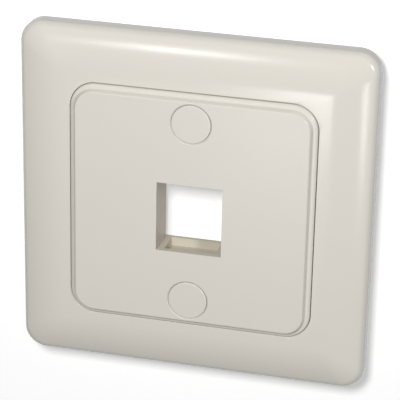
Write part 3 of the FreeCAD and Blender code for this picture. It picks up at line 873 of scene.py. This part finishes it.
def matt_port_painted_shade(piece, s, tint):
    """Give the port's inner walls the duller finish of an unpolished mould, and painted shade: a
    darker, browner tint than the ivory for the dim recess.
    """
    # the tint is the port colour, painted shade darker and browner than the ivory
    piece.data.materials.append(plastic(
        "port_ivory_painted_shade", tint, gloss=0.5, ripple=1.0, grain=0.6, mottle=0.08, gloss_spread=0.1))
    floor = -s.port_drop - s.port_height / 2 - s.latch_recess
    ceiling = -s.port_drop + s.port_height / 2 + s.hook_recess
    slack = 10 * TOUCH
    choose(piece)
    bpy.ops.object.mode_set(mode="EDIT")
    bpy.ops.mesh.select_mode(type="FACE")
    bpy.ops.mesh.select_all(action="DESELECT")
    mesh = bmesh.from_edit_mesh(piece.data)
    for face in mesh.faces:
        centre = face.calc_center_median() / MM
        across = abs(centre.x) < s.port_width / 2 + slack
        upright = floor - slack < centre.z < ceiling + slack
        if across and upright and -centre.y < s.front_depth - slack:
            face.select_set(True)
    bmesh.update_edit_mesh(piece.data)
    piece.active_material_index = 1
    bpy.ops.object.material_slot_assign()
    bpy.ops.object.mode_set(mode="OBJECT")
    piece.active_material_index = 0


class FACEPLATE_OT_centre_plate(bpy.types.Operator):
    """Model the stepped centre plate with its screw bosses and keystone port"""
    bl_idname = "faceplate.centre_plate"
    bl_label = "Centre Plate"

    def execute(self, context):
        scene = context.scene
        s, cap, finish = scene.faceplate_plate, scene.faceplate_caps, scene.faceplate_finishes
        outer = scene.faceplate_frame
        seat = outer.collar_depth - outer.seat_sink
        piece = swept_square("plate_body", plate_section(s, seat), closed=False, segments=14)
        cap_seat = s.front_depth - cap.thickness
        cap_bore = cap.radius + s.cap_clearance
        inside = s.front_depth - s.skin / 2
        recesses = s.latch_recess + s.hook_recess
        chamber = block(
            "chamber", s.port_width + 2 * s.chamber_wall,
            s.port_height + recesses + 2 * s.chamber_wall, -s.back_depth, inside,
            (s.hook_recess - s.latch_recess) / 2 - s.port_drop, edge=s.chamber_corner)
        boss = boss_profile(s, cap_seat, cap_bore, inside)
        bore = bore_profile(s, cap_seat, cap_bore)
        rises = (cap.spread, -cap.spread)
        bosses = [turned("boss", boss, rise=rise) for rise in rises]
        bores = [turned("bore", bore, rise=rise, steps=96) for rise in rises]
        combine(piece, [chamber, *bosses], "UNION")
        combine(piece, [*port_tools(s), *bores], "DIFFERENCE")
        finish_surface(piece)
        material = plastic("plate_ivory", finish.ivory, gloss=0.24, ripple=0.6, grain=0.1)
        dress(piece, material, "centre_plate")
        # the port's inner walls get painted shade, a darker, browner tint than the rest of the
        # plate
        matt_port_painted_shade(piece, s, finish.port)
        return {"FINISHED"}


# ---- caps

class FACEPLATE_OT_screw_caps(bpy.types.Operator):
    """Model the two press-in caps that cover the plate's screws"""
    bl_idname = "faceplate.screw_caps"
    bl_label = "Screw Caps"

    def execute(self, context):
        scene = context.scene
        s, front = scene.faceplate_caps, scene.faceplate_plate.front_depth
        back, skirt_end = front - s.thickness, millimetres(-CAP_HIGH.y)
        skirt_bore = s.skirt_radius - s.skirt_wall
        ivory = scene.faceplate_finishes.ivory
        material = plastic("cap_ivory", ivory, gloss=0.24, ripple=0.6, grain=0.1)
        profile = [(0, back), (skirt_bore, back), (skirt_bore, skirt_end),
                   (s.skirt_radius, skirt_end), (s.skirt_radius, back), (s.radius, back)]
        profile += rounded_rim(s.radius, front, s.edge_round, steps=5)
        profile += [(s.radius - s.edge_round - RIM_BAND, front), (0, front)]
        for node, sign in (("screw_cap_top", 1), ("screw_cap_bottom", -1)):
            name = node.replace("screw_", "") + "_disc"
            piece = turned(name, profile, rise=sign * s.spread, steps=72)
            finish_surface(piece)
            dress(piece, material, node)
        return {"FINISHED"}


# ---- screws and ring

class FACEPLATE_OT_plate_screws(bpy.types.Operator):
    """Model the two slotted M3 screws that hold the plate and frame to the ring"""
    bl_idname = "faceplate.plate_screws"
    bl_label = "Plate Screws"

    def execute(self, context):
        scene = context.scene
        s, plate = scene.faceplate_screws, scene.faceplate_plate
        seat, tip = plate.head_seat, millimetres(-SCREW_HIGH.y)
        front = seat + s.head_height
        middle = seat + s.head_height / 2
        material = plated_steel("screw_steel", scene.faceplate_finishes.steel,
                                gloss=0.3, gloss_spread=0.12, bump=0.000006)
        head = [(0, seat), (s.head_radius - s.head_chamfer, seat),
                (s.head_radius, seat + s.head_chamfer)]
        head += rounded_rim(s.head_radius, front, s.head_round, steps=4)
        head.append((0, front))
        # the thread is cut back to this form, whose tip is a cone that runs out past the crests
        outside = s.thread_radius + OVERCUT
        envelope = [(0, middle), (outside, middle), (outside, tip + s.tip_chamfer + OVERCUT),
                    (s.thread_radius - s.tip_chamfer, tip), (0, tip)]
        for node, sign in (("plate_screw_top", 1), ("plate_screw_bottom", -1)):
            rod = threaded_rod(node + "_body", s.thread_radius, s.thread_height, s.pitch,
                               middle + 2 * s.pitch, tip - 2 * s.pitch)
            combine(rod, [turned("envelope", envelope)], "INTERSECT")
            combine(rod, [turned("head", head, steps=48)], "UNION")
            slot = block("slot", 3 * s.head_radius, s.slot_width,
                         front - s.slot_sink, front + OVERCUT)
            combine(rod, [slot], "DIFFERENCE")
            rod.location.z = sign * scene.faceplate_caps.spread * MM
            settle(rod)
            finish_surface(rod)
            dress(rod, material, node)
        return {"FINISHED"}


def collar_profile(s, tube):
    """Half the section of a drawn collar, rounded where it leaves the sheet."""
    chamfer, root, bend = 0.15, 0.4, 0.12
    return [(0, -s.collar_reach), (tube - chamfer, -s.collar_reach),
            (tube, chamfer - s.collar_reach), (tube, -root), (tube + bend, -bend),
            (tube + root, 0), (tube + root, s.thickness / 2), (0, s.thickness / 2)]


class FACEPLATE_OT_support_ring(bpy.types.Operator):
    """Model the stamped steel ring with its window, box screw holes, slots and tapped collars"""
    bl_idname = "faceplate.support_ring"
    bl_label = "Support Ring"

    def execute(self, context):
        scene = context.scene
        s, screws = scene.faceplate_ring, scene.faceplate_screws
        spread = scene.faceplate_caps.spread
        piece = block("ring_sheet", 2 * s.half, 2 * s.half, 0, s.thickness,
                      edge=s.corner, segments=12)
        bore = screws.thread_radius + s.thread_gap
        collar = collar_profile(s, bore + s.collar_wall)
        below, above = -OVERCUT, s.thickness + OVERCUT
        tools = [block("window", s.window_width, s.window_height, below, above,
                       edge=s.window_corner, segments=8)]
        # a hair under half the width, so that the two arcs of each end stay apart
        slot_end = 0.999 * s.hole / 2
        collars = []
        for sign in (1, -1):
            off_centre = sign * s.hole_circle / 2
            tools.append(pin("hole", s.hole / 2, below, above, off_centre))
            slot = block("slot", s.hole, s.slot_length, below, above, edge=slot_end, segments=16)
            slot.location.x = off_centre * MM
            settle(slot)
            tools.append(slot)
            tools.append(pin("tapping", bore, below - s.collar_reach, above, sign * spread))
            collars.append(turned("collar", collar, rise=sign * spread, steps=48))
        combine(piece, collars, "UNION")
        combine(piece, tools, "DIFFERENCE")
        rounding = piece.modifiers.new("StampedEdges", "BEVEL")
        rounding.width = s.edge * MM
        rounding.segments = 2
        rounding.limit_method = "ANGLE"
        rounding.angle_limit = STAMPED_ANGLE
        rounding.use_clamp_overlap = True
        apply_modifiers(piece)
        finish_surface(piece)
        material = plated_steel("ring_steel", scene.faceplate_finishes.steel,
                                gloss=0.38, gloss_spread=0.15, bump=0.00001)
        dress(piece, material, "support_ring")
        return {"FINISHED"}


# ---- stage

def softbox(name, azimuth, elevation, width, height, brightness, distance=700):
    """A soft rectangular light, placed by angles round the object and turned to face it.

    Sizes and distance are in millimetres; a brightness of 1 looks white in a mirror.
    """
    turn, rise = math.radians(azimuth), math.radians(elevation)
    level = math.cos(rise)
    place = Vector((math.sin(turn) * level, -math.cos(turn) * level, math.sin(rise)))
    deselect()
    bpy.ops.object.light_add(type="AREA", location=place * distance * MM)
    light = bpy.context.object
    light.name = name
    light.data.name = name
    light.data.shape = "RECTANGLE"
    light.data.size = width * MM
    light.data.size_y = height * MM
    light.data.energy = brightness * math.pi * width * height * MM * MM
    light.rotation_mode = "QUATERNION"
    light.rotation_quaternion = place.to_track_quat("Z", "Y")
    return light


def backdrop_material():
    """White with the key light's shadow on it, for camera and glossy rays from the front alone."""
    material = bpy.data.materials.new("backdrop_white")
    material.use_nodes = True
    nodes, links = material.node_tree.nodes, material.node_tree.links
    shader = nodes["Principled BSDF"]
    shader.inputs["Base Color"].default_value = BACKDROP_COLOUR
    shader.inputs["Roughness"].default_value = 1.0
    shader.inputs["Specular IOR Level"].default_value = 0.0
    shader.inputs["Emission Color"].default_value = (1, 1, 1, 1)
    shader.inputs["Emission Strength"].default_value = BACKDROP_LIFT
    tree = material.node_tree
    path = nodes.new("ShaderNodeLightPath").outputs
    seen = maths(tree, "MAXIMUM", path["Is Camera Ray"], path["Is Glossy Ray"])
    facing = nodes.new("ShaderNodeNewGeometry")
    front = maths(tree, "SUBTRACT", seen, facing.outputs["Backfacing"])
    front.node.use_clamp = True
    clear = nodes.new("ShaderNodeBsdfTransparent")
    mix = nodes.new("ShaderNodeMixShader")
    links.new(front, mix.inputs[0])
    links.new(clear.outputs[0], mix.inputs[1])
    links.new(shader.outputs[0], mix.inputs[2])
    links.new(mix.outputs[0], nodes["Material Output"].inputs["Surface"])
    return material


class FACEPLATE_OT_stage(bpy.types.Operator):
    """Set the camera, the soft studio lights, the surroundings and the pale backdrop"""
    bl_idname = "faceplate.stage"
    bl_label = "Stage"

    def execute(self, context):
        scene = context.scene
        scene.view_settings.view_transform = "Standard"

        deselect()
        bpy.ops.object.camera_add(location=Vector(CAMERA_PLACE) * MM,
                                  rotation=[math.radians(turn) for turn in CAMERA_TURN])
        camera = bpy.context.object
        camera.name = "product_camera"
        camera.data.lens = CAMERA_LENS
        camera.data.clip_start = 0.01
        scene.camera = camera

        deselect()
        bpy.ops.mesh.primitive_plane_add(size=BACKDROP_SIZE * MM, rotation=(math.pi / 2, 0, 0),
                                         location=(0, BACKDROP_BEHIND * MM, 0))
        backdrop = bpy.context.object
        backdrop.name = "backdrop"
        backdrop.data.materials.append(backdrop_material())

        key = softbox("key_light", -2, 32, 110, 110, brightness=35.5, distance=450)
        key.visible_glossy = False
        softbox("side_light", 43, 14.5, 90, 90, brightness=61)
        softbox("window", -14, 14, 60, 40, brightness=26.5)
        softbox("low_lamp", -7.5, -17.4, 45, 22, brightness=35.7)
        softbox("right_lamp", 28, -18, 60, 40, brightness=14.4)
        softbox("rear_fill", -140, -30, 300, 300, brightness=5)
        # the fill lights leave the backdrop alone, so that only the key light casts a shadow on it
        spared = bpy.data.collections.new("spared_by_fill_lights")
        spared.objects.link(backdrop)
        spared.collection_objects[0].light_linking.link_state = "EXCLUDE"
        for light in bpy.data.objects:
            if light.type == "LIGHT" and light != key:
                light.light_linking.receiver_collection = spared

        world = bpy.data.worlds.new("studio")
        scene.world = world
        world.use_nodes = True
        nodes, links = world.node_tree.nodes, world.node_tree.links
        background = nodes["Background"]
        background.inputs["Color"].default_value = (1, 1, 1, 1)
        path = nodes.new("ShaderNodeLightPath")
        strength = ranged(world.node_tree, path.outputs["Is Camera Ray"], WORLD_FELT, WORLD_SEEN)
        links.new(strength, background.inputs["Strength"])
        return {"FINISHED"}


# ---- panel and registration

class FACEPLATE_PT_panel(bpy.types.Panel):
    """Buttons and sizes of the faceplate"""
    bl_label = "Keystone Faceplate"
    bl_space_type = "VIEW_3D"
    bl_region_type = "UI"
    bl_category = "Faceplate"

    def draw(self, context):
        for operator in OPERATORS:
            self.layout.operator(operator.bl_idname)
        for name in GROUPS:
            group = getattr(context.scene, name)
            box = self.layout.box()
            for key in group.bl_rna.properties.keys():
                if key not in ("rna_type", "name"):
                    box.prop(group, key)


OPERATORS = (
    FACEPLATE_OT_stage,
    FACEPLATE_OT_outer_frame,
    FACEPLATE_OT_centre_plate,
    FACEPLATE_OT_screw_caps,
    FACEPLATE_OT_plate_screws,
    FACEPLATE_OT_support_ring,
)
GROUPS = {
    "faceplate_frame": FrameSizes,
    "faceplate_plate": PlateSizes,
    "faceplate_caps": CapSizes,
    "faceplate_screws": ScrewSizes,
    "faceplate_ring": RingSizes,
    "faceplate_finishes": Finishes,
}


def register():
    for name, group in GROUPS.items():
        bpy.utils.register_class(group)
        setattr(bpy.types.Scene, name, PointerProperty(type=group))
    for item in (*OPERATORS, FACEPLATE_PT_panel):
        bpy.utils.register_class(item)


def unregister():
    for item in reversed((*OPERATORS, FACEPLATE_PT_panel)):
        bpy.utils.unregister_class(item)
    for name, group in reversed(GROUPS.items()):
        delattr(bpy.types.Scene, name)
        bpy.utils.unregister_class(group)


def main():
    register()
    bpy.ops.faceplate.stage()
    bpy.ops.faceplate.outer_frame()
    bpy.ops.faceplate.centre_plate()
    bpy.ops.faceplate.screw_caps()
    bpy.ops.faceplate.plate_screws()
    bpy.ops.faceplate.support_ring()


if __name__ == "__main__":
    main()
